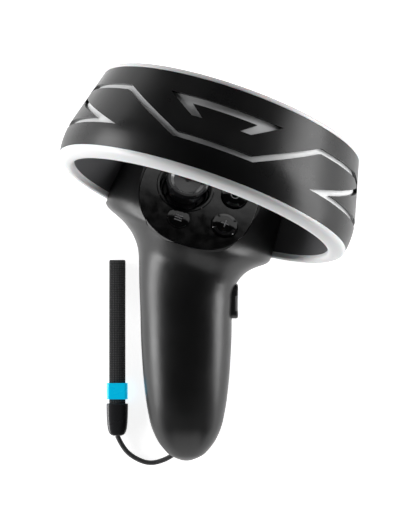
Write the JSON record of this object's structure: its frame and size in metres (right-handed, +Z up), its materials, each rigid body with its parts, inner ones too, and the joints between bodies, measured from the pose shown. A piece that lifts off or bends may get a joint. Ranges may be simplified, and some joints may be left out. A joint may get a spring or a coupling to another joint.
{
  "type": "vr motion controller",
  "caption": "Left-hand motion controller with a tracking ring, thumbstick, buttons, trigger, battery handle and wrist strap, lying on its back.",
  "frame": {"origin": "under the middle of the controller, at table height, with the strap left out", "axes": "+Z up from the table it lies on, +Y from the handle's end to the tracking ring, +X to the right of the thumb controls"},
  "size_m": [0.1284, 0.1753, 0.1294],
  "materials": {
    "shell": "satin black moulded plastic with a fine texture",
    "ring_band": "satin black moulded plastic",
    "light_guide": "translucent grey-white plastic",
    "rim_strip": "pearl white translucent plastic",
    "circuit_board": "green solder mask",
    "lamp": "clear moulded lens",
    "gloss_black": "piano black",
    "stick_rubber": "satin black",
    "metal": "bright steel",
    "inner_plastic": "moulded, unpainted",
    "switch": "moulded",
    "chip": "moulded resin",
    "battery": "plain wrapper",
    "screw": "black zinc",
    "trigger": "satin black",
    "cord": "braided polyester",
    "cord_end": "satin moulded",
    "webbing": "woven polyester",
    "slider": "bright cyan moulded"
  },
  "bodies": {
    "casing": {"front_shell": "shell", "rear_shell": "shell", "ring_outer_shell": "ring_band", "ring_inner_shell": "shell", "ring_light_guide": "light_guide", "lower_rim_strip": "rim_strip", "upper_rim_strip": "rim_strip", "ring_light_strip": "circuit_board", "ring_lamps": "lamp", "face_plate": "gloss_black", "stick_bowl": "gloss_black", "stick_base": "inner_plastic", "face_board": "circuit_board", "button_switches": "switch", "main_board": "circuit_board", "board_chips": "chip", "rumble_motor": "metal", "battery_left": "battery", "battery_right": "battery", "battery_tray": "inner_plastic", "contact_springs": "metal", "contact_plates": "metal", "shell_screws": "screw", "lanyard_bar": "metal", "trigger_pin": "metal", "trigger_bracket": "metal", "trigger_spring": "metal", "bumper_switch": "switch", "grip_switch": "switch", "lanyard_cord": "cord", "cord_end": "cord_end", "strap_webbing": "webbing"},
    "cover": {"battery_cover": "shell"},
    "yoke": {"stick_yoke": "inner_plastic"},
    "stick": {"stick_core": "metal"},
    "thumb_cap": {"stick_cap": "stick_rubber"},
    "lower_button": {"button_lower": "gloss_black"},
    "upper_button": {"button_upper": "gloss_black"},
    "menu_button": {"button_menu": "gloss_black"},
    "trigger_lever": {"trigger": "trigger", "trigger_magnet": "metal"},
    "bumper_key": {"bumper": "trigger"},
    "grip_key": {"grip_button": "trigger", "grip_inlay": "rim_strip"},
    "slider": {"strap_slider": "slider"}
  },
  "joints": [
    {"name": "stick_side", "type": "hinge", "parent": "casing", "child": "yoke", "pos_m": [-0.01201, 0.03124, 0.03039], "axis": [0.9444, -0.3289, 0], "range_deg": [-11, 11], "stiffness_Nm_per_rad": 0.02},
    {"name": "stick_forward", "type": "hinge", "parent": "yoke", "child": "stick", "pos_m": [-0.01201, 0.03124, 0.03039], "axis": [0.2819, 0.8095, -0.515], "range_deg": [-11, 11], "stiffness_Nm_per_rad": 0.02},
    {"name": "stick_click", "type": "slide", "parent": "stick", "child": "thumb_cap", "axis": [-0.1694, -0.4864, -0.8572], "range_m": [0, 0.0005], "stiffness_N_per_m": 1500, "springref_m": -0.0004},
    {"name": "lower_button_press", "type": "slide", "parent": "casing", "child": "lower_button", "axis": [-0.1694, -0.4864, -0.8572], "range_m": [0, 0.001], "stiffness_N_per_m": 800, "springref_m": -0.0006},
    {"name": "upper_button_press", "type": "slide", "parent": "casing", "child": "upper_button", "axis": [-0.1694, -0.4864, -0.8572], "range_m": [0, 0.001], "stiffness_N_per_m": 800, "springref_m": -0.0006},
    {"name": "menu_button_press", "type": "slide", "parent": "casing", "child": "menu_button", "axis": [-0.1694, -0.4864, -0.8572], "range_m": [0, 0.0006], "stiffness_N_per_m": 1000, "springref_m": -0.0006},
    {"name": "trigger_pull", "type": "hinge", "parent": "casing", "child": "trigger_lever", "pos_m": [-0.01026, 0.00118, 0.0195], "axis": [-0.9925, 0.1219, 0], "range_deg": [0, 8.5], "stiffness_Nm_per_rad": 0.12, "springref_deg": -8.59},
    {"name": "bumper_press", "type": "slide", "parent": "casing", "child": "bumper_key", "axis": [0.0571, 0.164, 0.9848], "range_m": [0, 0.0008], "stiffness_N_per_m": 1200, "springref_m": -0.0006},
    {"name": "grip_press", "type": "slide", "parent": "casing", "child": "grip_key", "axis": [-1, 0, 0], "range_m": [0, 0.0012], "stiffness_N_per_m": 900, "springref_m": -0.0006},
    {"name": "cover_lift", "type": "slide", "parent": "casing", "child": "cover", "axis": [0, 0.2588, -0.9659], "range_m": [0, 0.012]},
    {"name": "slider_slide", "type": "slide", "parent": "casing", "child": "slider", "axis": [0, 1, 0], "range_m": [0, 0.024]}
  ]
}
